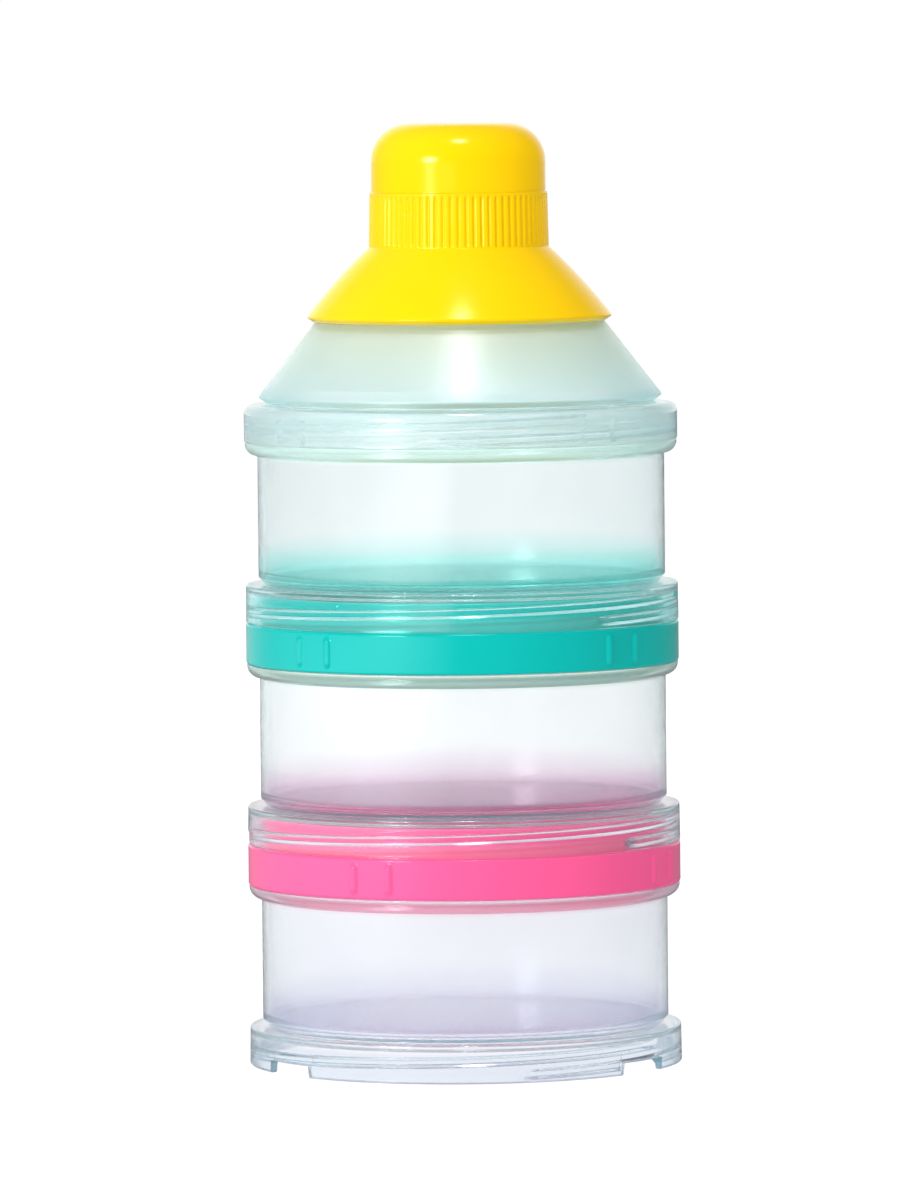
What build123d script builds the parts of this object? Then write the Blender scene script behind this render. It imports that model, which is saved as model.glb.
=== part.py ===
from build123d import *
from math import cos, hypot, radians, sin
import os

# Three-tier milk-powder dispenser, in millimetres.  +Z is up and the origin is the middle of the
# base.  Azimuths turn about +Z from the front (-Y) towards +X.  Each powder case has a threaded
# skirt below its floor, which screws onto the boss of the lid that closes the case beneath it.

# ---- Stack ----
RING_R = 40.0                   # outside of the skirts, lid bands and funnel collar
TIER = 40.9                     # height from one case to the next
SEAT_GAP = 0.1                  # play between a seated piece and what it rests on
WALL = 1.25
EDGE = 0.35                     # rounding of rims

# ---- Screw threads: right-handed, two starts ----
LEAD = 5.7                      # rise in one turn
STARTS = 2
THREAD_TURNS = 0.62             # length of each ridge
THREAD_BASE = 1.5               # width at the wall
THREAD_CREST = 0.8              # width at the crest
THREAD_ROOT = 0.3               # reach into the wall
THREAD_DEPTH = 0.4              # height of an outer ridge
THREAD_PLAY = 0.25              # radial play between outer and inner crests
HALF_SPACE = 360 / STARTS / 2   # angle that puts one ridge midway between two others

# ---- Powder case, heights above its own base ----
CASE_R = 37.55
SKIRT_Z = 7.06                  # top of the skirt
SKIRT_TOP_R = 39.9
SKIRT_IN_R = 38.6
SKIRT_THREAD_Z = 1.4
PLATE_Z = 5.86                  # underside of the plate between skirt and case
FOOT_R = 36.4                   # waist of the case above the plate
FOOT_Z = 8.5
FLOOR_UNDER_Z = 7.0
FLOOR_Z = 8.1
FLOOR_STEP_R = 35.0
FLOOR_ROUND = 1.6
FLANGE_Z = 33.3                 # top of the flange under the neck
FLANGE_R = 39.85
FLANGE_ROUND = 2.25
NECK_R = 37.45
NECK_Z = 39.2                   # rim of the case
NECK_THREAD_Z = 34.5
NOTCH_AZIMUTHS = (-55.0, 55.0)
NOTCH_HEIGHT = 2.2
NOTCH_WIDTH = 12.5
SKIRT_START = 17.0              # azimuth where the first skirt ridge begins
NECK_START = 60.0
CASE_TURNS = {"bottom_case": 0.0, "middle_case": 213.0, "top_case": 203.0}

# ---- Screw lid, heights above the base of the case that it closes ----
BAND_IN_R = 38.7
DISC = 1.3                      # thickness of the lid's disc
PLUG_R = 36.05
PLUG_IN_R = 34.9
PLUG_DEPTH = 3.0
BOSS_R = 37.2
BOSS_IN_R = 36.0
BOSS_HEIGHT = 5.4
BOSS_THREAD_Z = 0.9             # above the band
BOSS_START = -83.0
LID_TURNS = {"lower_lid": 19.8, "upper_lid": 2.0}

# ---- Grip marks: pairs of raised oblongs ----
MARK_LENGTH = 5.6
MARK_WIDTH = 1.5
MARK_RISE = 0.45
MARK_PAIRS = 4
MARK_START = 45.0               # middle of the first pair
MARK_SPREAD = 10.0              # angle between the marks of a pair

# ---- Funnel lid, heights above the base of the stack ----
COLLAR_TOP_Z = 122.1
COLLAR_ROUND = 1.8
COLLAR_MARK_LENGTH = 4.8
COLLAR_MARK_Z = 117.9
COLLAR_MARK_TURN = -6.0
GROOVE_R = 35.6
CONE_R = 37.3
CONE_Z = 123.4
CONE_TOP_R = 26.7
LEDGE_Z = 137.1                 # the cap's lip sits here
LEDGE_IN_R = 25.9
FUNNEL_PLUG_IN_R = 34.6
SPOUT_R = 13.2
SPOUT_IN_R = 12.0
SPOUT_Z = 169.0                 # mouth of the spout
SPOUT_THREAD_Z = 153.0
SPOUT_START = 30.0

# ---- Cap, heights above the base of the stack ----
LIP_R = 27.0
LIP_IN_R = 26.2
LIP_TIP_R = 28.2
LIP_TIP_Z = 138.0
GRIP_Z = 150.8                  # fluted band
GRIP_R = 16.6
GRIP_TOP_Z = 160.9
GRIP_TOP_R = 16.4
DOME_R = 16.1
DOME_ROUND = 7.0
CAP_Z = 173.5
CAP_BORE_R = 14.9
CEILING_Z = 172.1
CEILING_ROUND = 5.6
STOPPER_R = 11.8
STOPPER_IN_R = 10.6
STOPPER_Z = 162.5
FLUTES = 72
FLUTE_DEPTH = 0.45
FLUTE_WIDTH = 0.7
FLUTE_Z = 151.6
FLUTE_TOP_Z = 160.2

# ---- Worked out from the above ----
CASE_IN_R = CASE_R - WALL
BAND_Z = FLANGE_Z + SEAT_GAP
BAND_TOP_Z = TIER - SEAT_GAP
DISC_Z = BAND_TOP_Z - DISC
FUNNEL_BASE = 2 * TIER
NECK_CREST_R = NECK_R + THREAD_DEPTH
BAND_CREST_R = NECK_CREST_R + THREAD_PLAY
BOSS_CREST_R = BOSS_R + THREAD_DEPTH
SKIRT_CREST_R = BOSS_CREST_R + THREAD_PLAY
SPOUT_CREST_R = SPOUT_R + THREAD_DEPTH
CAP_CREST_R = SPOUT_CREST_R + THREAD_PLAY
LIP_Z = LEDGE_Z + SEAT_GAP
CONE_SLOPE = (CONE_R - CONE_TOP_R) / (LEDGE_Z - CONE_Z)
HOOD_SLOPE = (LIP_TIP_R - GRIP_R) / (GRIP_Z - LIP_TIP_Z)
CONE_IN_R = CONE_R - WALL * hypot(1, CONE_SLOPE)
HOOD_WALL = WALL * hypot(1, HOOD_SLOPE)


def at_azimuth(radius, azimuth, height):
    """Point at an azimuth turned from the front."""
    angle = radians(azimuth)
    return (radius * sin(angle), -radius * cos(angle), height)


def turned(outline):
    """Solid turned about Z from points of (radius, height) or (radius, height, rounding)."""
    face = make_face(Polyline(*[(point[0], 0, point[1]) for point in outline], close=True)).face()
    for point in outline:
        if len(point) == 3:
            corner = face.vertices().sort_by_distance(Vector(point[0], 0, point[1]))[0]
            face = face.fillet_2d(point[2], [corner])
    return revolve(face, Axis.Z)


def ridge(wall_r, crest_r, height, azimuth):
    """One thread ridge from a wall towards a crest radius."""
    out = 1 if crest_r > wall_r else -1
    depth = abs(crest_r - wall_r)
    path = Helix(pitch=LEAD, height=LEAD * THREAD_TURNS, radius=wall_r)
    outline = Polyline(
        (-THREAD_ROOT, -THREAD_BASE / 2),
        (0, -THREAD_BASE / 2),
        (depth, -THREAD_CREST / 2),
        (depth, THREAD_CREST / 2),
        (0, THREAD_BASE / 2),
        (-THREAD_ROOT, THREAD_BASE / 2),
        close=True,
    )
    start = Plane(origin=path @ 0, x_dir=(out, 0, 0), z_dir=path % 0)
    swept = sweep(start * make_face(outline), path=path, is_frenet=True)
    return Pos(0, 0, height) * Rot(0, 0, azimuth - 90) * swept


def thread(wall_r, crest_r, height, azimuth):
    """All the ridges of a thread, evenly spaced."""
    return [ridge(wall_r, crest_r, height, azimuth + 360 / STARTS * k) for k in range(STARTS)]


def grip_marks(middle_z, length, first):
    """Pairs of raised oblongs around a band."""
    bars = []
    for pair in range(MARK_PAIRS):
        for side in (-0.5, 0.5):
            azimuth = first + 360 / MARK_PAIRS * pair + side * MARK_SPREAD
            outward = at_azimuth(1, azimuth, 0)
            spot = at_azimuth(RING_R - WALL / 2, azimuth, middle_z)
            face = Plane(origin=spot, x_dir=(0, 0, 1), z_dir=outward)
            bars.append(extrude(face * SlotOverall(length, MARK_WIDTH), WALL / 2 + MARK_RISE))
    return bars


def powder_case():
    """Case with its floor, threaded neck and threaded skirt, standing on its own base."""
    body = turned(
        [
            (0, FLOOR_UNDER_Z),
            (FLOOR_STEP_R, FLOOR_UNDER_Z),
            (FLOOR_STEP_R, PLATE_Z),
            (SKIRT_IN_R, PLATE_Z),
            (SKIRT_IN_R, 0, EDGE),
            (RING_R, 0, EDGE),
            (SKIRT_TOP_R, SKIRT_Z, EDGE),
            (FOOT_R, SKIRT_Z),
            (CASE_R, FOOT_Z, EDGE),
            (CASE_R, FLANGE_Z - FLANGE_ROUND - SEAT_GAP),
            (FLANGE_R, FLANGE_Z - FLANGE_ROUND - SEAT_GAP, FLANGE_ROUND),
            (FLANGE_R, FLANGE_Z),
            (NECK_R, FLANGE_Z),
            (NECK_R, NECK_Z, EDGE),
            (CASE_IN_R, NECK_Z, EDGE),
            (CASE_IN_R, FLOOR_Z, FLOOR_ROUND),
            (0, FLOOR_Z),
        ]
    )
    body += thread(SKIRT_IN_R, SKIRT_CREST_R, SKIRT_THREAD_Z, SKIRT_START)
    body += thread(NECK_R, NECK_CREST_R, NECK_THREAD_Z, NECK_START)
    cutter = Box(NOTCH_WIDTH, 4 * (RING_R - SKIRT_IN_R), 2 * NOTCH_HEIGHT)
    for azimuth in NOTCH_AZIMUTHS:
        body -= Rot(0, 0, azimuth) * Pos(0, -RING_R, 0) * cutter
    return body


def screw_lid():
    """Lid with a gripping band, a plug inside the neck and a threaded boss on top."""
    body = turned(
        [
            (0, DISC_Z),
            (PLUG_IN_R, DISC_Z),
            (PLUG_IN_R, DISC_Z - PLUG_DEPTH, EDGE),
            (PLUG_R, DISC_Z - PLUG_DEPTH, EDGE),
            (PLUG_R, DISC_Z),
            (BAND_IN_R, DISC_Z),
            (BAND_IN_R, BAND_Z, EDGE),
            (RING_R, BAND_Z, EDGE),
            (RING_R, BAND_TOP_Z, EDGE),
            (BOSS_R, BAND_TOP_Z),
            (BOSS_R, BAND_TOP_Z + BOSS_HEIGHT, EDGE),
            (BOSS_IN_R, BAND_TOP_Z + BOSS_HEIGHT, EDGE),
            (BOSS_IN_R, BAND_TOP_Z),
            (0, BAND_TOP_Z),
        ]
    )
    body += thread(BAND_IN_R, BAND_CREST_R, NECK_THREAD_Z, NECK_START + HALF_SPACE)
    body += thread(BOSS_R, BOSS_CREST_R, BAND_TOP_Z + BOSS_THREAD_Z, BOSS_START)
    body += grip_marks((BAND_Z + BAND_TOP_Z) / 2, MARK_LENGTH, MARK_START)
    return body


def funnel():
    """Collar with an inner thread, a cone and the pouring spout."""
    base = FUNNEL_BASE
    spout_foot_z = LEDGE_Z + (LEDGE_IN_R - SPOUT_R) / HOOD_SLOPE
    inner_foot_z = LEDGE_Z + (LEDGE_IN_R - HOOD_WALL - SPOUT_IN_R) / HOOD_SLOPE
    inner_cone_z = CONE_Z + (CONE_IN_R - FUNNEL_PLUG_IN_R) / CONE_SLOPE
    below_ledge_z = LEDGE_Z - 1.5 * WALL
    body = turned(
        [
            (RING_R, base + BAND_Z, EDGE),
            (RING_R, COLLAR_TOP_Z, COLLAR_ROUND),
            (GROOVE_R, COLLAR_TOP_Z),
            (CONE_R, CONE_Z, EDGE),
            (CONE_TOP_R, LEDGE_Z, EDGE),
            (LEDGE_IN_R, LEDGE_Z),
            (SPOUT_R, spout_foot_z),
            (SPOUT_R, SPOUT_Z, EDGE),
            (SPOUT_IN_R, SPOUT_Z, EDGE),
            (SPOUT_IN_R, inner_foot_z),
            (LEDGE_IN_R - HOOD_WALL, LEDGE_Z),
            (CONE_IN_R - CONE_SLOPE * (below_ledge_z - CONE_Z), below_ledge_z),
            (FUNNEL_PLUG_IN_R, inner_cone_z),
            (FUNNEL_PLUG_IN_R, base + DISC_Z - PLUG_DEPTH, EDGE),
            (PLUG_R, base + DISC_Z - PLUG_DEPTH, EDGE),
            (PLUG_R, base + DISC_Z),
            (BAND_IN_R, base + DISC_Z),
            (BAND_IN_R, base + BAND_Z, EDGE),
        ]
    )
    neck_start = NECK_START + CASE_TURNS["top_case"]
    body += thread(BAND_IN_R, BAND_CREST_R, base + NECK_THREAD_Z, neck_start + HALF_SPACE)
    body += thread(SPOUT_R, SPOUT_CREST_R, SPOUT_THREAD_Z, SPOUT_START)
    body += grip_marks(COLLAR_MARK_Z, COLLAR_MARK_LENGTH, MARK_START + COLLAR_MARK_TURN)
    return body


def cap():
    """Fluted cap with a hood over the funnel and a stopper ring inside the spout."""
    body = turned(
        [
            (0, CAP_Z),
            (DOME_R, CAP_Z, DOME_ROUND),
            (DOME_R, GRIP_TOP_Z),
            (GRIP_TOP_R, GRIP_TOP_Z),
            (GRIP_R, GRIP_Z),
            (LIP_TIP_R, LIP_TIP_Z, EDGE),
            (LIP_R, LIP_Z),
            (LIP_IN_R, LIP_Z),
            (LIP_IN_R, LIP_TIP_Z + (LIP_TIP_R - HOOD_WALL - LIP_IN_R) / HOOD_SLOPE),
            (CAP_BORE_R, LIP_TIP_Z + (LIP_TIP_R - HOOD_WALL - CAP_BORE_R) / HOOD_SLOPE),
            (CAP_BORE_R, CEILING_Z, CEILING_ROUND),
            (0, CEILING_Z),
        ]
    )
    stopper_top_z = (CEILING_Z + CAP_Z) / 2 - EDGE
    body += turned(
        [
            (STOPPER_R, stopper_top_z),
            (STOPPER_R, STOPPER_Z, EDGE),
            (STOPPER_IN_R, STOPPER_Z, EDGE),
            (STOPPER_IN_R, stopper_top_z),
        ]
    )
    body += thread(CAP_BORE_R, CAP_CREST_R, SPOUT_THREAD_Z, SPOUT_START + HALF_SPACE)
    flute_height = FLUTE_TOP_Z - FLUTE_Z
    cutter = Box(FLUTE_WIDTH, 2 * FLUTE_DEPTH, flute_height)
    middle = Pos(0, -(GRIP_R + GRIP_TOP_R) / 2, FLUTE_Z + flute_height / 2)
    body -= [Rot(0, 0, 360 / FLUTES * k) * middle * cutter for k in range(FLUTES)]
    return body


def save(name, body):
    """Write one node."""
    export_step(body, "parts/" + name + ".step")


def main():
    os.makedirs("parts", exist_ok=True)
    case = powder_case()
    for tier, (name, turn) in enumerate(CASE_TURNS.items()):
        save(name, Pos(0, 0, tier * TIER) * Rot(0, 0, turn) * case)
    lid = screw_lid()
    for tier, (name, turn) in enumerate(LID_TURNS.items()):
        save(name, Pos(0, 0, tier * TIER) * Rot(0, 0, turn) * lid)
    save("funnel_lid", funnel())
    save("spout_cap", cap())


main()
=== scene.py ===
from math import acos, atan2, ceil, cos, hypot, pi, sin, tan

import bmesh
import bpy
import numpy as np
from mathutils import Matrix, Vector


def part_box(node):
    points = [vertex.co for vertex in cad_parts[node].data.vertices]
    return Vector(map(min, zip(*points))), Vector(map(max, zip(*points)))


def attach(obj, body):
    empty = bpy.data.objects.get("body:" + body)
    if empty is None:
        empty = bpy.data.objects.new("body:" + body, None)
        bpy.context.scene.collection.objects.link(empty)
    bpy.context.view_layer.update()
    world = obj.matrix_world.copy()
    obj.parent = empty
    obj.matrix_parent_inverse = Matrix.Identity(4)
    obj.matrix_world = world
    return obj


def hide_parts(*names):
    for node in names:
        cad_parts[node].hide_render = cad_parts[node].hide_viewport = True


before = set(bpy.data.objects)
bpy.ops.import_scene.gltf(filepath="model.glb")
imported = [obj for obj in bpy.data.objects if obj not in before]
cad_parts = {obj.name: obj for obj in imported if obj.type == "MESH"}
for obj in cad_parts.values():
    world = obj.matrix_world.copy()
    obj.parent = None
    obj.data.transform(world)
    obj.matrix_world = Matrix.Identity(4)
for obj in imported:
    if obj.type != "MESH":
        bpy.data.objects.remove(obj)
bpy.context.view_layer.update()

# Lengths are in millimetres, and in metres where a comment says so.  Azimuths turn about +Z
# from the front (-Y) towards +X, in degrees.
MM = 0.001
WHITE = (1.0, 1.0, 1.0)
BLACK = (0.0, 0.0, 0.0)

# ---- Shared sizes ----
RING_R = 40.0
WALL = 1.25
EDGE = 0.35
SHARP = 0.15                # rounding of corners that no hand touches
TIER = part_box("middle_case")[0].z / MM

# ---- Screw threads ----
LEAD = 5.7
STARTS = 2
HALF_SPACE = 360 / STARTS / 2
THREAD_TURNS = 0.62
THREAD_BASE = 2.2
THREAD_CREST = 0.5
THREAD_RUN_OUT = 3.0
THREAD_END_RISE = 0.5       # part of its full height that a ridge keeps at its ends

# ---- Grip marks ----
MARK_WIDTH = 1.7
MARK_RISE = 0.45
MARK_START = 45.0
MARK_SPREAD = 10.0
MARK_PAIRS = 4

# ---- Fineness of the meshes ----
ROUND_STEPS = 216           # steps of a full turn
LID_STEPS = 144
CAP_STEPS = 576
SUPPORT = 0.07              # distance of a guard row from the start of a rounding
FINE_ROW = 0.055            # row spacing where a wall carries a thread
HIDDEN_ROW = FINE_ROW * 3   # row spacing of the spout's thread, under the cap
BORE_ROW = FINE_ROW * 4     # row spacing of the thread inside the cap
MARK_ROW = 0.2              # row spacing where a wall carries grip marks
FLUTE_ROW = 0.25
PLAIN_ROW = 1.5             # row spacing of outer walls without a relief
COARSE_ROW = 4.0
ARC_PARTS = 3               # fewest parts of a rounding
ARC_STEP = 0.35             # radius of a rounding for each of its parts
MARK_SPAN = 1.5             # degrees with closer steps at each side of a grip mark
MARK_STEP = 0.15
NOTCH_SPAN = 0.6            # degrees with closer steps at each side of a notch's edge
NOTCH_STEP = 0.1
AXIS_R = 1e-6               # a row nearer to the axis than this is a single point


# ---------------------------------------------------------------- turned meshes
def corner(r, z, rounding=0.0, row=None, relief=None):
    """A corner of an outline; row and relief belong to the straight run that follows it."""
    return {"at": Vector((r, z)), "rounding": rounding, "row": row, "relief": relief}


def arc_rows(before, here, after, rounding):
    """Rows of one rounded corner, with a guard row at each side of it."""
    back = (before - here).normalized()
    ahead = (after - here).normalized()
    half = acos(max(-1.0, min(1.0, back.dot(ahead)))) / 2
    reach = rounding / tan(half)
    start = here + back * reach
    end = here + ahead * reach
    centre = here + (back + ahead).normalized() * (rounding / sin(half))
    parts = max(ARC_PARTS, ceil(rounding / ARC_STEP))
    first = atan2(start.y - centre.y, start.x - centre.x)
    last = atan2(end.y - centre.y, end.x - centre.x)
    sweep = (last - first + pi) % (2 * pi) - pi
    rows = [here + back * (reach + SUPPORT)]
    for k in range(parts + 1):
        angle = first + sweep * k / parts
        rows.append(centre + Vector((cos(angle), sin(angle))) * rounding)
    rows.append(here + ahead * (reach + SUPPORT))
    return rows


def outline_rows(corners, closed):
    """Every row of an outline, each a point of radius and height and its relief."""
    rows = []
    count = len(corners)
    for k, c in enumerate(corners):
        before = corners[k - 1]["at"]
        ahead = corners[(k + 1) % count]
        if c["rounding"]:
            rows += [(p, None) for p in arc_rows(before, c["at"], ahead["at"], c["rounding"])]
        else:
            rows.append((c["at"], None))
        if k == count - 1 and not closed:
            break
        if c["row"]:
            start = rows[-1][0]
            end = ahead["at"]
            if ahead["rounding"]:
                following = corners[(k + 2) % count]["at"]
                end = arc_rows(c["at"], ahead["at"], following, ahead["rounding"])[0]
            parts = max(1, round((end - start).length / c["row"]))
            for step in range(1, parts):
                rows.append((start.lerp(end, step / parts), c["relief"]))
    return rows


def ring_points(at, relief, azimuths, lift):
    """Points of one row all the way round."""
    angle = np.radians(azimuths)
    height = np.full(len(azimuths), at.y)
    if lift is not None:
        height = lift(azimuths, height)
    radius = np.full(len(azimuths), at.x)
    if relief is not None:
        radius = radius + relief(azimuths, height)
    return np.stack([radius * np.sin(angle), -radius * np.cos(angle), height], 1)


def join_rings(bm, low, high):
    """Faces between two rings, either of which may be a single point on the axis."""
    if len(low) == 1 and len(high) == 1:
        return
    steps = max(len(low), len(high))
    for k in range(steps):
        n = (k + 1) % steps
        if len(low) == 1:
            bm.faces.new((low[0], high[n], high[k]))
        elif len(high) == 1:
            bm.faces.new((low[k], low[n], high[0]))
        else:
            bm.faces.new((low[k], low[n], high[n], high[k]))


def turned(name, corners, azimuths, closed=False, lift=None):
    """Piece turned about Z from an outline.  Reliefs move a row's points away from the axis."""
    bm = bmesh.new()
    rings = []
    for at, relief in outline_rows(corners, closed):
        points = ring_points(at, relief, azimuths, lift)
        if at.x < AXIS_R:
            points = points[:1]
        rings.append([bm.verts.new(Vector(p) * MM) for p in points])
    pairs = list(zip(rings, rings[1:]))
    if closed:
        pairs.append((rings[-1], rings[0]))
    for low, high in pairs:
        join_rings(bm, low, high)
    bmesh.ops.recalc_face_normals(bm, faces=bm.faces)
    mesh = bpy.data.meshes.new(name)
    bm.to_mesh(mesh)
    bm.free()
    mesh.shade_smooth()
    piece = bpy.data.objects.new(name, mesh)
    bpy.context.scene.collection.objects.link(piece)
    return piece


def gap_to(azimuths, middle):
    """Signed angle from an azimuth, the short way round."""
    return (azimuths - middle + 180) % 360 - 180


def even_azimuths(steps, dense=(), span=0.0, fine=0.0):
    """Even azimuths, closer together within span of each azimuth in dense."""
    base = np.arange(steps) * 360.0 / steps
    if not len(dense):
        return base
    centres = np.array(dense) % 360
    gap = np.abs(gap_to(base[:, None], centres[None, :])).min(axis=1)
    offsets = np.arange(-span, span + fine / 2, fine)
    extra = ((centres[:, None] + offsets[None, :]) % 360).ravel()
    return np.unique(np.round(np.concatenate([base[gap > span], extra]), 6))


def place_piece(piece, node, shade, base=0.0):
    """Lifts a piece by base, gives it its material and lets it stand for its CAD node."""
    piece.data.transform(Matrix.Translation((0, 0, base * MM)))
    piece.data.materials.append(shade)
    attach(piece, node)
    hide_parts(node)


# ---------------------------------------------------------------- reliefs
def smooth(x):
    """Smooth step from 0 to 1."""
    x = np.clip(x, 0, 1)
    return x * x * (3 - 2 * x)


def thread_relief(radius, depth, start_z, start_azimuth):
    """Ridges of a thread that stand depth away from a wall, lower towards their ends."""
    length = THREAD_TURNS * 2 * pi * radius
    opposite = 180 + 180 * THREAD_TURNS

    def relief(azimuths, height):
        rise = np.zeros_like(height)
        for k in range(STARTS):
            turn = (azimuths - start_azimuth - 360 / STARTS * k) % 360
            turn = np.where(turn > opposite, turn - 360, turn)
            along = np.radians(turn) * radius
            on_ridge = np.clip(along, 0, length)
            centre = start_z + LEAD * on_ridge / (2 * pi * radius)
            away = np.hypot(along - on_ridge, height - centre)
            ridge = smooth((THREAD_BASE / 2 - away) / (THREAD_BASE - THREAD_CREST) * 2)
            run_out = smooth(np.minimum(on_ridge, length - on_ridge) / THREAD_RUN_OUT)
            ridge = ridge * (THREAD_END_RISE + (1 - THREAD_END_RISE) * run_out)
            rise = np.maximum(rise, ridge)
        return depth * rise

    return relief


def mark_relief(middles, middle_z, length):
    """Domed upright oblongs at the given azimuths."""

    def relief(azimuths, height):
        total = np.zeros_like(height)
        for middle in middles:
            across = np.radians(gap_to(azimuths, middle)) * RING_R
            up = np.maximum(np.abs(height - middle_z) - (length - MARK_WIDTH) / 2, 0)
            total = np.maximum(total, 1 - (np.hypot(across, up) / (MARK_WIDTH / 2)) ** 2)
        return MARK_RISE * total

    return relief


def mark_azimuths(turn):
    """Azimuths of a band's grip marks, two to a pair."""
    first = MARK_START + turn
    spacing = 360 / MARK_PAIRS
    half = MARK_SPREAD / 2
    return [first + spacing * pair + side * half for pair in range(MARK_PAIRS) for side in (-1, 1)]


# ---------------------------------------------------------------- material parts
NOISE_LOW = 0.3             # nearly all of a noise lies between these two
NOISE_HIGH = 0.7
NOISE_DETAIL = 3.0
LEVEL_START = 0.9           # upward part of a normal where a face starts to count as level
LEVEL_FULL = 0.98


def material(name):
    made = bpy.data.materials.new(name)
    made.use_nodes = True
    return made, made.node_tree.nodes, made.node_tree.links


def connect(links, value, socket):
    """Links a socket to an output, or sets it to a number or a colour."""
    if isinstance(value, bpy.types.NodeSocket):
        links.new(value, socket)
    elif isinstance(value, tuple):
        socket.default_value = (*value, 1)
    else:
        socket.default_value = value


def mixed(nodes, links, factor, first, second, blend="MIX"):
    """A mix of two colours.  Each value is an output, or a number or colour."""
    mix = nodes.new("ShaderNodeMix")
    mix.data_type = "RGBA"
    mix.blend_type = blend
    connect(links, factor, mix.inputs["Factor"])
    connect(links, first, mix.inputs["A"])
    connect(links, second, mix.inputs["B"])
    return mix.outputs["Result"]


def computed(nodes, links, operation, *values):
    """The result of one operation on numbers."""
    made = nodes.new("ShaderNodeMath")
    made.operation = operation
    for value, socket in zip(values, made.inputs):
        connect(links, value, socket)
    return made.outputs["Value"]


def spread_out(nodes, links, value, start, end, low=0.0, high=1.0):
    """A value that goes from low to high while another goes from start to end."""
    spread = nodes.new("ShaderNodeMapRange")
    spread.inputs["From Min"].default_value = start
    spread.inputs["From Max"].default_value = end
    spread.inputs["To Min"].default_value = low
    spread.inputs["To Max"].default_value = high
    links.new(value, spread.inputs["Value"])
    return spread.outputs["Result"]


def noise(nodes, links, scale, detail=NOISE_DETAIL):
    """Noise in object space; the scale is per metre."""
    place = nodes.new("ShaderNodeTexCoord")
    texture = nodes.new("ShaderNodeTexNoise")
    texture.inputs["Scale"].default_value = scale
    texture.inputs["Detail"].default_value = detail
    links.new(place.outputs["Object"], texture.inputs["Vector"])
    return texture.outputs["Fac"]


def uneven(nodes, links, value, low=0.0, high=1.0):
    """A noise value spread over a range."""
    return spread_out(nodes, links, value, NOISE_LOW, NOISE_HIGH, low, high)


def bump(nodes, links, value, strength, distance):
    """A bump from a noise value; the distance is in metres."""
    made = nodes.new("ShaderNodeBump")
    made.inputs["Strength"].default_value = strength
    made.inputs["Distance"].default_value = distance
    links.new(value, made.inputs["Height"])
    return made.outputs["Normal"]


def ramp(nodes, links, value, stops):
    """A colour that follows a value, by stops of value and colour."""
    made = nodes.new("ShaderNodeValToRGB")
    elements = made.color_ramp.elements
    while len(elements) < len(stops):
        elements.new(elements[-1].position)
    for element, (position, colour) in zip(elements, stops):
        element.position = position
        element.color = (*colour, 1)
    links.new(value, made.inputs["Fac"])
    return made.outputs["Color"]


def ramp_along(nodes, links, axis, start, end, stops):
    """A colour that changes along an axis of object space, by stops of place and colour, metres."""
    place = nodes.new("ShaderNodeTexCoord")
    split = nodes.new("ShaderNodeSeparateXYZ")
    links.new(place.outputs["Object"], split.inputs["Vector"])
    along = spread_out(nodes, links, split.outputs[axis], start, end)
    stops = [((at - start) / (end - start), colour) for at, colour in stops]
    return ramp(nodes, links, along, stops)


def by_height(nodes, links, stops):
    """A colour that changes with the height, from the first stop to the last."""
    stops = [(height * MM, colour) for height, colour in stops]
    return ramp_along(nodes, links, "Z", stops[0][0], stops[-1][0], stops)


def grey_by_height(nodes, links, stops):
    """A value that changes with the height, from the first stop to the last."""
    return by_height(nodes, links, [(height, (value, value, value)) for height, value in stops])


def level_faces(nodes, links):
    """1 on faces that look straight up or down, 0 on the rest."""
    place = nodes.new("ShaderNodeNewGeometry")
    split = nodes.new("ShaderNodeSeparateXYZ")
    links.new(place.outputs["Normal"], split.inputs["Vector"])
    upward = computed(nodes, links, "ABSOLUTE", split.outputs["Z"])
    return spread_out(nodes, links, upward, LEVEL_START, LEVEL_FULL)


def through_lamps(nodes, links, surface):
    """Lets lamp and diffuse rays pass straight through, so that what stands behind is lit."""
    clear = nodes.new("ShaderNodeBsdfTransparent")
    clear.inputs["Color"].default_value = (*LAMP_TINT, 1)
    path = nodes.new("ShaderNodeLightPath")
    for kind in ("Is Diffuse Ray", "Is Shadow Ray"):
        mix = nodes.new("ShaderNodeMixShader")
        links.new(path.outputs[kind], mix.inputs["Fac"])
        links.new(surface, mix.inputs[1])
        links.new(clear.outputs["BSDF"], mix.inputs[2])
        surface = mix.outputs["Shader"]
    links.new(surface, nodes["Material Output"].inputs["Surface"])


# ---------------------------------------------------------------- plastics
# Scales of the noises, per metre
CLEAR_PATCHES = 60
CLEAR_GLOSS = 140
CLEAR_WAVES = 45
OPAQUE_FLOW = 28
OPAQUE_GLOSS = 90
OPAQUE_GRAIN = 2500

FLOW_DETAIL = 2.0
GRAIN_DETAIL = 1.0
WAVE_STRENGTH = 0.05
WAVE_DISTANCE = 0.0005      # metres
GRAIN_STRENGTH = 0.03
GRAIN_DISTANCE = 0.0001     # metres
POLYPROPYLENE_IOR = 1.49
DEPTH_COLOUR = (0.4, 0.85, 0.88)
LAMP_TINT = (0.975, 0.985, 0.99)


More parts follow.
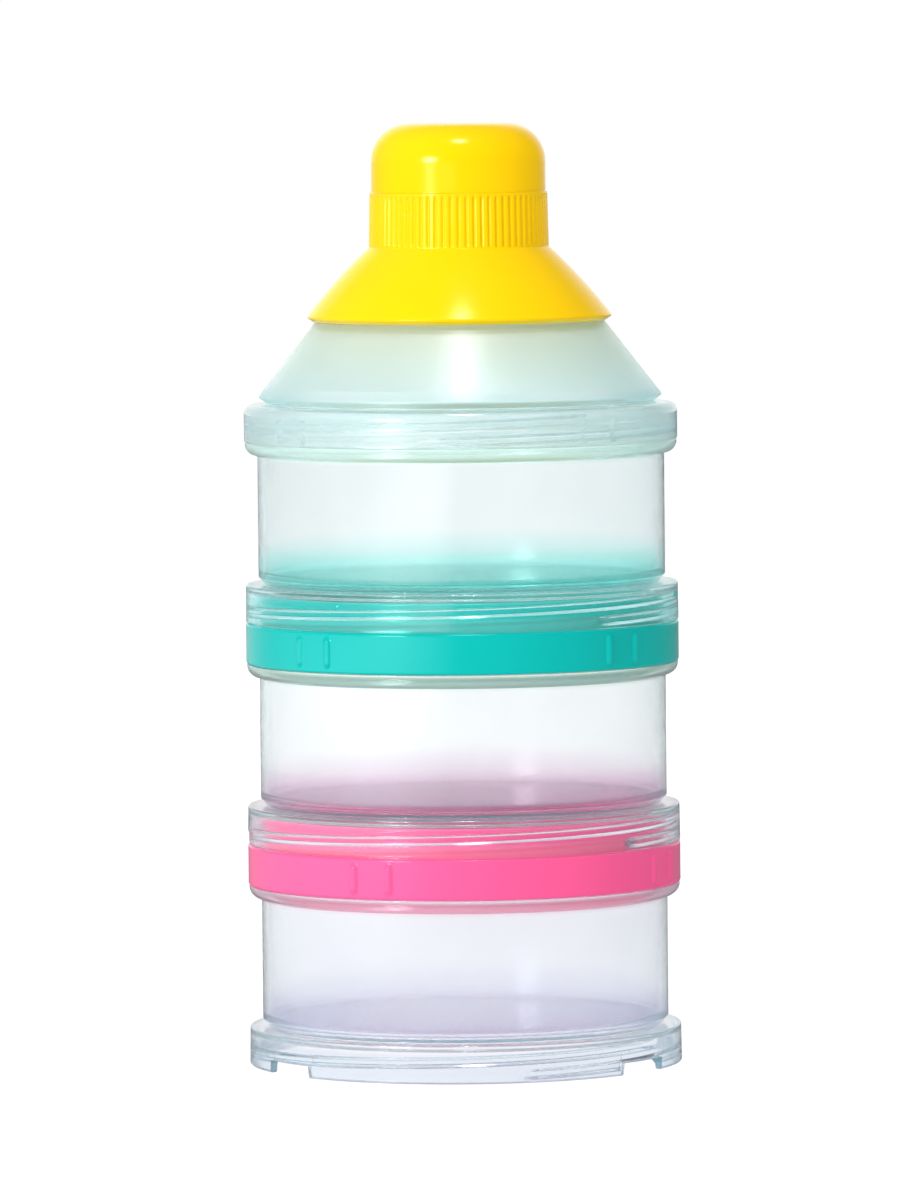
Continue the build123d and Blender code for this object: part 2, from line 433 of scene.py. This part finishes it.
def clear_plastic(name, light, dark, gloss, frost, density, tints, hazes, frosts=()):
    """Clear polypropylene: haze, uneven gloss, slightly frosted level faces, and tints by height
    that carry painted coloured light from the parts next to it as well as the plastic's own tone.
    """
    made, nodes, links = material(name)
    shader = nodes["Principled BSDF"]
    patches = uneven(nodes, links, noise(nodes, links, CLEAR_PATCHES))
    plain = mixed(nodes, links, patches, light, dark)
    # Painted light: the tints by height multiply the base colour.
    tinted_with_painted_light = mixed(nodes, links, 1.0, plain, by_height(nodes, links, tints), "MULTIPLY")
    links.new(tinted_with_painted_light, shader.inputs["Base Color"])
    rough = uneven(nodes, links, noise(nodes, links, CLEAR_GLOSS), *gloss)
    rough = computed(nodes, links, "MULTIPLY_ADD", level_faces(nodes, links), frost, rough)
    if frosts:
        rough = computed(nodes, links, "ADD", grey_by_height(nodes, links, frosts), rough)
    links.new(rough, shader.inputs["Roughness"])
    waves = noise(nodes, links, CLEAR_WAVES, FLOW_DETAIL)
    links.new(bump(nodes, links, waves, WAVE_STRENGTH, WAVE_DISTANCE), shader.inputs["Normal"])
    shader.inputs["IOR"].default_value = POLYPROPYLENE_IOR
    clarity = grey_by_height(nodes, links, [(height, 1 - haze) for height, haze in hazes])
    links.new(clarity, shader.inputs["Transmission Weight"])
    depth = nodes.new("ShaderNodeVolumeAbsorption")
    depth.inputs["Color"].default_value = (*DEPTH_COLOUR, 1)
    depth.inputs["Density"].default_value = density
    links.new(depth.outputs["Volume"], nodes["Material Output"].inputs["Volume"])
    through_lamps(nodes, links, shader.outputs["BSDF"])
    return made


def coloured_plastic(name, light, dark, gloss, sheen):
    """Opaque glossy polypropylene: flow shading, fine mould texture and uneven gloss."""
    made, nodes, links = material(name)
    shader = nodes["Principled BSDF"]
    flow = uneven(nodes, links, noise(nodes, links, OPAQUE_FLOW, FLOW_DETAIL))
    links.new(mixed(nodes, links, flow, light, dark), shader.inputs["Base Color"])
    rough = uneven(nodes, links, noise(nodes, links, OPAQUE_GLOSS), *gloss)
    links.new(rough, shader.inputs["Roughness"])
    grain = noise(nodes, links, OPAQUE_GRAIN, GRAIN_DETAIL)
    links.new(bump(nodes, links, grain, GRAIN_STRENGTH, GRAIN_DISTANCE), shader.inputs["Normal"])
    shader.inputs["Specular Tint"].default_value = (*sheen, 1)
    return made


# ---------------------------------------------------------------- powder cases
CASE_R = 37.55
CASE_IN_R = CASE_R - WALL
SKIRT_Z = 7.06
SKIRT_TOP_R = 39.9
SKIRT_IN_R = 38.6
SKIRT_THREAD_Z = 1.4
SKIRT_THREAD_DEPTH = 0.75
SKIRT_START = 17.0
PLATE_Z = 5.86
FOOT_R = 36.4
FOOT_Z = 8.5
FLOOR_UNDER_Z = 7.0
FLOOR_Z = 8.1
FLOOR_STEP_R = 35.0
FLOOR_ROUND = 1.6
FLANGE_Z = 33.3
FLANGE_R = 39.85
FLANGE_ROUND = 2.25
NECK_R = 37.45
NECK_Z = 39.2
NECK_THREAD_Z = 34.5
NECK_THREAD_DEPTH = 0.4
NECK_START = 60.0
NOTCH_AZIMUTHS = (-55.0, 55.0)
NOTCH_HALF = 8.9            # degrees
NOTCH_EDGE = 0.5            # degrees over which a notch's side rises
NOTCH_HEIGHT = 2.2
CASE_TURNS = {"bottom_case": 0.0, "middle_case": 213.0, "top_case": 203.0}

# ---- Look of the cases ----
CASE_GLOSS = (0.06, 0.1)
CASE_FROST = 0.1
CASE_DENSITY = 45
SKIRT_HAZE = 0.01
FLANGE_HAZE = 0.25
TINT_BLEND = 1.0            # height over which one tint gives way to the next
NOTCH_BLEND = 0.5
FOOT_FADE = 7.0             # height above the floor where the foot's painted lid light ends
EDGE_DEPTH = 1.4            # the floor's edge gets a deeper painted lid light, as if this much thicker than the foot


def case_plastic(name, base, light, dark, haze, skirt, foot_painted_light, flange_painted_light):
    """Clear plastic of a case.  Painted lid light: its skirt, its foot and its flange take the
    colour of the lids next to them, in place of that colour reflected in the plastic and seen
    through it.
    """
    floor_edge_painted_light = tuple(c ** EDGE_DEPTH for c in foot_painted_light)
    flange_foot = FLANGE_Z - FLANGE_ROUND
    # Painted light from the lids, by height: the skirt, then clear, then the floor's edge and the
    # foot, then clear, then the flange.
    tints = [
        (0, skirt), (PLATE_Z - TINT_BLEND, skirt), (PLATE_Z, WHITE), (FLOOR_UNDER_Z, WHITE),
        (FLOOR_Z, floor_edge_painted_light), (FLOOR_Z + TINT_BLEND, floor_edge_painted_light), (FLOOR_Z + 2 * TINT_BLEND, foot_painted_light),
        (FLOOR_Z + FOOT_FADE, WHITE), (flange_foot - TINT_BLEND, WHITE), (flange_foot, flange_painted_light),
        (FLANGE_Z, flange_painted_light), (FLANGE_Z + TINT_BLEND, WHITE),
    ]
    hazes = [
        (0, haze), (NOTCH_HEIGHT, haze), (NOTCH_HEIGHT + NOTCH_BLEND, SKIRT_HAZE),
        (PLATE_Z - TINT_BLEND, SKIRT_HAZE), (PLATE_Z, haze), (flange_foot - TINT_BLEND, haze),
        (flange_foot, FLANGE_HAZE), (FLANGE_Z, FLANGE_HAZE), (FLANGE_Z + TINT_BLEND, haze),
    ]
    tints = [(base + height, colour) for height, colour in tints]
    hazes = [(base + height, value) for height, value in hazes]
    return clear_plastic(name, light, dark, CASE_GLOSS, CASE_FROST, CASE_DENSITY, tints, hazes)


def notch_lift(turn):
    """Raises the lower edge of a skirt at its two notches."""

    def lift(azimuths, height):
        raised = height
        for middle in NOTCH_AZIMUTHS:
            gap = np.abs(gap_to(azimuths, middle + turn))
            cut = NOTCH_HEIGHT * smooth((NOTCH_HALF + NOTCH_EDGE / 2 - gap) / NOTCH_EDGE)
            raised = raised + cut * np.clip(1 - height / (PLATE_Z - SHARP), 0, 1)
        return raised

    return lift


def powder_case(name, node, shade):
    turn = CASE_TURNS[node]
    skirt = thread_relief(SKIRT_IN_R, -SKIRT_THREAD_DEPTH, SKIRT_THREAD_Z, SKIRT_START + turn)
    neck = thread_relief(NECK_R, NECK_THREAD_DEPTH, NECK_THREAD_Z, NECK_START + turn)
    flange_foot = FLANGE_Z - FLANGE_ROUND - SHARP
    corners = [
        corner(0, FLOOR_UNDER_Z, row=COARSE_ROW),
        corner(FLOOR_STEP_R, FLOOR_UNDER_Z, SHARP),
        corner(FLOOR_STEP_R, PLATE_Z, SHARP),
        corner(SKIRT_IN_R, PLATE_Z, SHARP, FINE_ROW, skirt),
        corner(SKIRT_IN_R, 0, EDGE),
        corner(RING_R, 0, EDGE, PLAIN_ROW),
        corner(SKIRT_TOP_R, SKIRT_Z, EDGE),
        corner(FOOT_R, SKIRT_Z, SHARP),
        corner(CASE_R, FOOT_Z, EDGE, COARSE_ROW),
        corner(CASE_R, flange_foot, SHARP),
        corner(FLANGE_R, flange_foot, FLANGE_ROUND - SHARP),
        corner(FLANGE_R, FLANGE_Z, SHARP / 2),
        corner(NECK_R, FLANGE_Z, SHARP, FINE_ROW, neck),
        corner(NECK_R, NECK_Z, EDGE),
        corner(CASE_IN_R, NECK_Z, EDGE, COARSE_ROW),
        corner(CASE_IN_R, FLOOR_Z, FLOOR_ROUND, COARSE_ROW),
        corner(0, FLOOR_Z),
    ]
    sides = [turn + m + s * NOTCH_HALF for m in NOTCH_AZIMUTHS for s in (-1, 1)]
    azimuths = even_azimuths(ROUND_STEPS, sides, NOTCH_SPAN, NOTCH_STEP)
    piece = turned(name, corners, azimuths, lift=notch_lift(turn))
    place_piece(piece, node, shade, base=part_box(node)[0].z / MM)


# ---------------------------------------------------------------- coloured screw lids
SEAT_GAP = 0.1
BAND_Z = FLANGE_Z + SEAT_GAP
BAND_TOP_Z = TIER - SEAT_GAP
BAND_IN_R = 38.7
BAND_THREAD_DEPTH = 0.6
DISC = 1.3
DISC_Z = BAND_TOP_Z - DISC
PLUG_R = 36.05
PLUG_IN_R = 34.9
PLUG_DEPTH = 3.0
BOSS_R = 37.2
BOSS_IN_R = 36.0
BOSS_HEIGHT = 5.4
BOSS_THREAD_Z = 0.9
BOSS_START = -83.0
MARK_LENGTH = 5.6
LID_TURNS = {"lower_lid": 19.8, "upper_lid": 2.0}


def screw_lid(name, node, shade):
    turn = LID_TURNS[node]
    marks = mark_azimuths(turn)
    grip = mark_relief(marks, (BAND_Z + BAND_TOP_Z) / 2, MARK_LENGTH)
    neck_start = NECK_START + HALF_SPACE + turn
    inner = thread_relief(BAND_IN_R, -BAND_THREAD_DEPTH, NECK_THREAD_Z, neck_start)
    boss_thread_z = BAND_TOP_Z + BOSS_THREAD_Z
    boss = thread_relief(BOSS_R, NECK_THREAD_DEPTH, boss_thread_z, BOSS_START + turn)
    corners = [
        corner(0, DISC_Z, row=COARSE_ROW),
        corner(PLUG_IN_R, DISC_Z, SHARP),
        corner(PLUG_IN_R, DISC_Z - PLUG_DEPTH, EDGE),
        corner(PLUG_R, DISC_Z - PLUG_DEPTH, EDGE),
        corner(PLUG_R, DISC_Z, SHARP),
        corner(BAND_IN_R, DISC_Z, SHARP, FINE_ROW, inner),
        corner(BAND_IN_R, BAND_Z, EDGE),
        corner(RING_R, BAND_Z, EDGE, MARK_ROW, grip),
        corner(RING_R, BAND_TOP_Z, EDGE),
        corner(BOSS_R, BAND_TOP_Z, SHARP, FINE_ROW, boss),
        corner(BOSS_R, BAND_TOP_Z + BOSS_HEIGHT, EDGE),
        corner(BOSS_IN_R, BAND_TOP_Z + BOSS_HEIGHT, EDGE),
        corner(BOSS_IN_R, BAND_TOP_Z, SHARP, COARSE_ROW),
        corner(0, BAND_TOP_Z),
    ]
    azimuths = even_azimuths(LID_STEPS, marks, MARK_SPAN, MARK_STEP)
    piece = turned(name, corners, azimuths)
    place_piece(piece, node, shade, base=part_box(node)[0].z / MM - BAND_Z)


# ---------------------------------------------------------------- funnel lid
COLLAR_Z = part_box("funnel_lid")[0].z / MM
COLLAR_TOP_Z = 122.1
COLLAR_ROUND = 1.8
COLLAR_MARK_LENGTH = 4.8
COLLAR_MARK_Z = 117.9
COLLAR_MARK_TURN = -6.0
GROOVE_R = 35.6
CONE_R = 37.3
CONE_Z = 123.4
CONE_TOP_R = 26.7
LEDGE_Z = 137.1
LEDGE_IN_R = 25.9
LEDGE_THICKNESS = 1.5 * WALL
FUNNEL_PLUG_IN_R = 34.6
SPOUT_R = 13.2
SPOUT_IN_R = 12.0
SPOUT_Z = 169.0
SPOUT_THREAD_Z = 153.0
SPOUT_THREAD_DEPTH = 0.4
SPOUT_START = 30.0
LIP_TIP_R = 28.2
LIP_TIP_Z = 138.0
GRIP_Z = 150.8
GRIP_R = 16.6
CONE_SLOPE = (CONE_R - CONE_TOP_R) / (LEDGE_Z - CONE_Z)
HOOD_SLOPE = (LIP_TIP_R - GRIP_R) / (GRIP_Z - LIP_TIP_Z)
CONE_IN_R = CONE_R - WALL * hypot(1, CONE_SLOPE)
HOOD_WALL = WALL * hypot(1, HOOD_SLOPE)

# ---- Look of the funnel: clear collar, milky cone with painted yellow light from the cap towards the ledge ----
MILKY_DENSITY = 100
MILKY_FROST = 0.17
FROST_BLEND = 0.6           # height over which the cone's frost begins
CONE_BLEND = 3.0            # height over which the collar's tint gives way to the cone's painted cap light
LEDGE_BLEND = 2.0
COLLAR_TINT = (0.95, 0.99, 1.0)
# The collar keeps the plastic's own bluish tone; above it, painted yellow light from the cap:
# greenish on the cone, strongest at the ledge under the lip.
FUNNEL_TONE_AND_PAINTED_CAP_LIGHT = [
    (COLLAR_Z, COLLAR_TINT), (CONE_Z, COLLAR_TINT), (CONE_Z + CONE_BLEND, (0.97, 1.0, 0.98)),
    (LEDGE_Z, (1.0, 0.97, 0.84)), (LEDGE_Z + LEDGE_BLEND, (0.98, 0.99, 0.96)),
    (SPOUT_Z, (0.98, 0.99, 0.98)),
]
FUNNEL_HAZES = [(COLLAR_Z, 0.2), (LEDGE_Z, 0.23)]
FUNNEL_FROSTS = [
    (COLLAR_Z, 0.0), (COLLAR_TOP_Z, 0.0), (COLLAR_TOP_Z + FROST_BLEND, MILKY_FROST),
    (LEDGE_Z, MILKY_FROST),
]


def funnel(shade):
    base = 2 * TIER
    plug_z = base + DISC_Z - PLUG_DEPTH
    ceiling_z = base + DISC_Z
    spout_foot_z = LEDGE_Z + (LEDGE_IN_R - SPOUT_R) / HOOD_SLOPE
    inner_foot_z = LEDGE_Z + (LEDGE_IN_R - HOOD_WALL - SPOUT_IN_R) / HOOD_SLOPE
    inner_cone_z = CONE_Z + (CONE_IN_R - FUNNEL_PLUG_IN_R) / CONE_SLOPE
    below_ledge_z = LEDGE_Z - LEDGE_THICKNESS
    below_ledge_r = CONE_IN_R - CONE_SLOPE * (below_ledge_z - CONE_Z)
    marks = mark_azimuths(COLLAR_MARK_TURN)
    grip = mark_relief(marks, COLLAR_MARK_Z, COLLAR_MARK_LENGTH)
    neck_start = NECK_START + CASE_TURNS["top_case"] + HALF_SPACE
    inner = thread_relief(BAND_IN_R, -BAND_THREAD_DEPTH, base + NECK_THREAD_Z, neck_start)
    spout = thread_relief(SPOUT_R, SPOUT_THREAD_DEPTH, SPOUT_THREAD_Z, SPOUT_START)
    corners = [
        corner(RING_R, COLLAR_Z, EDGE, MARK_ROW, grip),
        corner(RING_R, COLLAR_TOP_Z, COLLAR_ROUND),
        corner(GROOVE_R, COLLAR_TOP_Z, SHARP),
        corner(CONE_R, CONE_Z, EDGE, COARSE_ROW),
        corner(CONE_TOP_R, LEDGE_Z, EDGE),
        corner(LEDGE_IN_R, LEDGE_Z, SHARP, COARSE_ROW),
        corner(SPOUT_R, spout_foot_z, EDGE, HIDDEN_ROW, spout),
        corner(SPOUT_R, SPOUT_Z, EDGE),
        corner(SPOUT_IN_R, SPOUT_Z, EDGE, COARSE_ROW),
        corner(SPOUT_IN_R, inner_foot_z, EDGE, COARSE_ROW),
        corner(LEDGE_IN_R - HOOD_WALL, LEDGE_Z, EDGE),
        corner(below_ledge_r, below_ledge_z, EDGE, COARSE_ROW),
        corner(FUNNEL_PLUG_IN_R, inner_cone_z, EDGE),
        corner(FUNNEL_PLUG_IN_R, plug_z, EDGE),
        corner(PLUG_R, plug_z, EDGE),
        corner(PLUG_R, ceiling_z, SHARP),
        corner(BAND_IN_R, ceiling_z, SHARP, FINE_ROW, inner),
        corner(BAND_IN_R, COLLAR_Z, EDGE),
    ]
    azimuths = even_azimuths(LID_STEPS, marks, MARK_SPAN, MARK_STEP)
    piece = turned("funnel_shell", corners, azimuths, closed=True)
    place_piece(piece, "funnel_lid", shade)


# ---------------------------------------------------------------- cap
LIP_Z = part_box("spout_cap")[0].z / MM
LIP_R = 27.0
LIP_IN_R = 26.2
GRIP_TOP_Z = 160.9
GRIP_TOP_R = 16.4
DOME_R = 16.1
DOME_ROUND = 7.0
CAP_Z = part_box("spout_cap")[1].z / MM
CAP_BORE_R = 14.9
CAP_THREAD_DEPTH = 1.05
CEILING_Z = 172.1
CEILING_ROUND = 5.6
CEILING_PARTS = 6
STOPPER_R = 11.8
STOPPER_IN_R = 10.6
STOPPER_Z = 162.5
FLUTES = 72
FLUTE_DEPTH = 0.35
FLUTE_WIDTH = 0.62
FLUTE_Z = 151.0
FLUTE_TOP_Z = 160.2
FLUTE_END = 0.5             # height over which a flute runs out
HOOD_BULGE = 0.38           # how far the hood's outside swells between its ends
HOOD_PARTS = 8


def flute_relief(azimuths, height):
    """Narrow upright grooves around the grip band."""
    step = 360 / FLUTES
    across = np.abs((azimuths + step / 2) % step - step / 2)
    across = np.radians(across) * GRIP_R
    groove = np.sqrt(np.clip(1 - (across / (FLUTE_WIDTH / 2)) ** 2, 0, 1))
    inside = np.minimum(height - FLUTE_Z, FLUTE_TOP_Z - height)
    return -FLUTE_DEPTH * groove * smooth(inside / FLUTE_END + 0.5)


def ceiling_at(radius):
    """Height of the cap's rounded ceiling at a radius."""
    centre_r = CAP_BORE_R - CEILING_ROUND
    centre_z = CEILING_Z - CEILING_ROUND
    return centre_z + (CEILING_ROUND ** 2 - (radius - centre_r) ** 2) ** 0.5


def ceiling_corners():
    """Corners of the ceiling's rounding, from the bore to the root of the stopper ring."""
    centre = Vector((CAP_BORE_R - CEILING_ROUND, CEILING_Z - CEILING_ROUND))
    stop = atan2(ceiling_at(STOPPER_R) - centre.y, STOPPER_R - centre.x)
    corners = [corner(CAP_BORE_R, centre.y)]
    for k in range(1, CEILING_PARTS):
        angle = stop * k / CEILING_PARTS
        place = centre + Vector((cos(angle), sin(angle))) * CEILING_ROUND
        corners.append(corner(place.x, place.y))
    return corners


def hood_corners():
    """Corners of the hood's slightly swollen outside, between the grip band and the lip."""
    top = Vector((GRIP_R, GRIP_Z))
    tip = Vector((LIP_TIP_R, LIP_TIP_Z))
    outward = Vector((top.y - tip.y, tip.x - top.x)).normalized()
    corners = []
    for k in range(1, HOOD_PARTS):
        along = k / HOOD_PARTS
        place = top.lerp(tip, along) + outward * (HOOD_BULGE * 4 * along * (1 - along))
        corners.append(corner(place.x, place.y))
    return corners


def cap(shade):
    hood_in_z = LIP_TIP_Z + (LIP_TIP_R - HOOD_WALL - LIP_IN_R) / HOOD_SLOPE
    bore_z = LIP_TIP_Z + (LIP_TIP_R - HOOD_WALL - CAP_BORE_R) / HOOD_SLOPE
    thread_start = SPOUT_START + HALF_SPACE
    thread = thread_relief(CAP_BORE_R, -CAP_THREAD_DEPTH, SPOUT_THREAD_Z, thread_start)
    corners = [
        corner(0, CAP_Z, row=PLAIN_ROW),
        corner(DOME_R, CAP_Z, DOME_ROUND, PLAIN_ROW),
        corner(DOME_R, GRIP_TOP_Z, SHARP),
        corner(GRIP_TOP_R, GRIP_TOP_Z, SHARP, FLUTE_ROW, flute_relief),
        corner(GRIP_R, GRIP_Z, SHARP),
        *hood_corners(),
        corner(LIP_TIP_R, LIP_TIP_Z, EDGE),
        corner(LIP_R, LIP_Z, SHARP),
        corner(LIP_IN_R, LIP_Z, SHARP),
        corner(LIP_IN_R, hood_in_z, SHARP, COARSE_ROW),
        corner(CAP_BORE_R, bore_z, SHARP, BORE_ROW, thread),
        *ceiling_corners(),
        corner(STOPPER_R, ceiling_at(STOPPER_R)),
        corner(STOPPER_R, STOPPER_Z, EDGE),
        corner(STOPPER_IN_R, STOPPER_Z, EDGE),
        corner(STOPPER_IN_R, ceiling_at(STOPPER_IN_R), SHARP),
        corner(0, CEILING_Z),
    ]
    piece = turned("cap_shell", corners, even_azimuths(CAP_STEPS))
    place_piece(piece, "spout_cap", shade)


# ---------------------------------------------------------------- camera
CAMERA_PLACE = (0.0, -1.7123, 0.1896)   # metres
CAMERA_LENS = 278.4
CAMERA_PITCH = 0.0607                   # radians below level
CAMERA_TURN = 0.0013                    # radians
CAMERA_ROLL = -0.0092                   # radians
CAMERA_REACH = 50                       # metres


def add_camera():
    data = bpy.data.cameras.new("camera")
    data.lens = CAMERA_LENS
    data.clip_end = CAMERA_REACH
    made = bpy.data.objects.new("camera", data)
    bpy.context.scene.collection.objects.link(made)
    turn = Matrix.Rotation(CAMERA_TURN, 4, "Z")
    pitch = Matrix.Rotation(pi / 2 - CAMERA_PITCH, 4, "X")
    roll = Matrix.Rotation(CAMERA_ROLL, 4, "Z")
    made.matrix_world = Matrix.Translation(CAMERA_PLACE) @ turn @ pitch @ roll
    bpy.context.scene.camera = made


# ---------------------------------------------------------------- floor
FLOOR_HALF = 8.0                        # metres
FLOOR_COLOUR = (0.12, 0.12, 0.12)
FLOOR_ROUGHNESS = 0.9
FLOOR_GLOW = 0.93
DIM = (0.03, 0.04, 0.04)
GLARE_X = (-2.0, 0.0)                   # metres; the glare that glossy faces reflect
GLARE_ACROSS = [(-1.8, DIM), (-1.3, WHITE), (-0.6, WHITE), (-0.1, DIM)]
GLARE_AWAY = [(-0.4, (2.6, 2.7, 2.8)), (0.5, (0.35, 0.4, 0.42))]


def floor_paper():
    """Glowing white floor, which glossy faces reflect as a soft patch of glare on the left."""
    made, nodes, links = material("floor_paper")
    shader = nodes["Principled BSDF"]
    shader.inputs["Base Color"].default_value = (*FLOOR_COLOUR, 1)
    shader.inputs["Roughness"].default_value = FLOOR_ROUGHNESS
    shader.inputs["Specular IOR Level"].default_value = 0.0
    across = ramp_along(nodes, links, "X", *GLARE_X, GLARE_ACROSS)
    away = ramp_along(nodes, links, "Y", GLARE_AWAY[0][0], GLARE_AWAY[-1][0], GLARE_AWAY)
    glare = mixed(nodes, links, 1.0, across, away, "MULTIPLY")
    path = nodes.new("ShaderNodeLightPath")
    rays = (path.outputs["Is Reflection Ray"], path.outputs["Is Glossy Ray"])
    reflected = computed(nodes, links, "MULTIPLY", *rays)
    links.new(mixed(nodes, links, reflected, WHITE, glare), shader.inputs["Emission Color"])
    shader.inputs["Emission Strength"].default_value = FLOOR_GLOW
    return made


def add_floor():
    mesh = bpy.data.meshes.new("floor")
    half = FLOOR_HALF
    places = [(-half, -half, 0), (half, -half, 0), (half, half, 0), (-half, half, 0)]
    mesh.from_pydata(places, [], [(0, 1, 2, 3)])
    mesh.materials.append(floor_paper())
    made = bpy.data.objects.new("floor", mesh)
    bpy.context.scene.collection.objects.link(made)


# ---------------------------------------------------------------- light
def add_softbox(name, place, aim, size, power):
    """Oval lamp; places and sizes are in metres, the power is in watts."""
    data = bpy.data.lights.new(name, "AREA")
    data.shape = "ELLIPSE"
    data.size, data.size_y = size
    data.energy = power
    made = bpy.data.objects.new(name, data)
    bpy.context.scene.collection.objects.link(made)
    place = Vector(place)
    facing = (place - Vector(aim)).to_track_quat("Z", "Y").to_matrix().to_4x4()
    made.matrix_world = Matrix.Translation(place) @ facing
    return made


def direction_ramp(nodes, links, axis, stops):
    """A colour that changes with the direction's part along an axis; 0.5 is square to it."""
    place = nodes.new("ShaderNodeTexCoord")
    part = nodes.new("ShaderNodeVectorMath")
    part.operation = "DOT_PRODUCT"
    part.inputs[1].default_value = Vector(axis).normalized()
    links.new(place.outputs["Generated"], part.inputs[0])
    return ramp(nodes, links, spread_out(nodes, links, part.outputs["Value"], -1.0, 1.0), stops)


# Stops of the world's light, by the part of a direction along an axis: 0.0 straight against it,
# 1.0 straight along it.  Diffuse rays alone see the soft light, refracted ones the overhead light.
SIDE_LIGHT = [(0.0, (0.24, 0.27, 0.3)), (0.4, (0.1, 0.12, 0.13)), (1.0, (0.06, 0.08, 0.08))]
BACKDROP = [(0.84, BLACK), (0.985, WHITE)]
SOFT_LIGHT = [(0.0, (0.1, 0.1, 0.09)), (1.0, WHITE)]
SOFT_LIGHT_FROM = (-0.5, 0, 1)
OVERHEAD_LIGHT = [(0.55, BLACK), (0.8, (0.9, 0.9, 0.9))]


def add_world():
    """White backdrop behind the object, a dim studio around it, more light from the upper left."""
    world = bpy.data.worlds.new("studio")
    bpy.context.scene.world = world
    world.use_nodes = True
    nodes = world.node_tree.nodes
    links = world.node_tree.links
    sides = direction_ramp(nodes, links, (1, 0, 0), SIDE_LIGHT)
    backdrop = direction_ramp(nodes, links, (0, 1, 0), BACKDROP)
    soft = direction_ramp(nodes, links, SOFT_LIGHT_FROM, SOFT_LIGHT)
    above = direction_ramp(nodes, links, (0, 0, 1), OVERHEAD_LIGHT)
    path = nodes.new("ShaderNodeLightPath").outputs
    refracted = mixed(nodes, links, path["Is Transmission Ray"], BLACK, above)
    colour = mixed(nodes, links, refracted, sides, WHITE)
    colour = mixed(nodes, links, backdrop, colour, WHITE)
    colour = mixed(nodes, links, path["Is Diffuse Ray"], colour, soft)
    colour = mixed(nodes, links, path["Is Camera Ray"], colour, WHITE)
    links.new(colour, nodes["Background"].inputs["Color"])
    nodes["Background"].inputs["Strength"].default_value = 1.0


LIGHT_BOUNCES = 28
GLOSSY_BOUNCES = 12


def set_look():
    scene = bpy.context.scene
    scene.view_settings.view_transform = "Standard"
    scene.cycles.max_bounces = LIGHT_BOUNCES
    scene.cycles.transmission_bounces = LIGHT_BOUNCES
    scene.cycles.glossy_bounces = GLOSSY_BOUNCES
    scene.cycles.use_denoising = True


# ---------------------------------------------------------------- the whole
# Three copies of one clear plastic. Besides the painted lid light by height, the bottom case's
# violet tone is a painted pink reflection and the lower cases' greyer tones are painted shade.
bottom_tier_case_painted_light = case_plastic(
    "clear_polypropylene_bottom", base=0, haze=0.09,
    light=(0.945, 0.94, 0.968), dark=(0.918, 0.914, 0.946),
    skirt=(0.86, 0.9, 0.95), foot_painted_light=(0.87, 0.86, 0.94), flange_painted_light=(0.98, 0.72, 0.80),
)
middle_tier_case_painted_light = case_plastic(
    "clear_polypropylene_middle", base=TIER, haze=0.06,
    light=(0.957, 0.955, 0.96), dark=(0.93, 0.93, 0.935),
    skirt=(0.98, 0.86, 0.93), foot_painted_light=(0.90, 0.74, 0.85), flange_painted_light=(0.84, 0.95, 0.86),
)
top_tier_case_painted_light = case_plastic(
    "clear_polypropylene_top", base=2 * TIER, haze=0.06,
    light=(0.975, 0.98, 0.985), dark=(0.95, 0.96, 0.965),
    skirt=(0.64, 0.98, 0.96), foot_painted_light=(0.62, 0.94, 0.91), flange_painted_light=(0.88, 0.98, 0.91),
)
milky = clear_plastic(
    "milky_polypropylene", gloss=(0.12, 0.16), frost=0.0, density=MILKY_DENSITY,
    light=(0.91, 0.92, 0.90), dark=(0.88, 0.90, 0.88),
    tints=FUNNEL_TONE_AND_PAINTED_CAP_LIGHT, hazes=FUNNEL_HAZES, frosts=FUNNEL_FROSTS,
)
teal = coloured_plastic(
    "teal_polypropylene", gloss=(0.13, 0.18), sheen=(0.5, 1.0, 0.92),
    light=(0.0, 0.47, 0.43), dark=(0.0, 0.44, 0.40),
)
pink = coloured_plastic(
    "pink_polypropylene", gloss=(0.13, 0.18), sheen=(1.0, 0.65, 0.85),
    light=(0.95, 0.11, 0.31), dark=(0.92, 0.10, 0.29),
)
yellow = coloured_plastic(
    "yellow_polypropylene", gloss=(0.15, 0.19), sheen=(1.0, 0.95, 0.45),
    light=(1.0, 0.63, 0.0), dark=(0.98, 0.60, 0.0),
)

powder_case("bottom_case_shell", "bottom_case", bottom_tier_case_painted_light)
powder_case("middle_case_shell", "middle_case", middle_tier_case_painted_light)
powder_case("top_case_shell", "top_case", top_tier_case_painted_light)
screw_lid("pink_lid", "lower_lid", pink)
screw_lid("teal_lid", "upper_lid", teal)
funnel(milky)
cap(yellow)

add_camera()
add_floor()
add_world()
add_softbox("key", place=(-0.87, -1.12, 0.36), aim=(0, 0, 0.12), size=(0.42, 0.34), power=10)
add_softbox("overhead", place=(0.03, -0.48, 1.3), aim=(0, 0, 0.13), size=(0.24, 0.26), power=4.4)
back = add_softbox("back", place=(-0.3, 1.3, 0.65), aim=(0, 0, 0.08), size=(0.9, 0.5), power=22)
back.visible_glossy = False
back.visible_transmission = False
set_look()
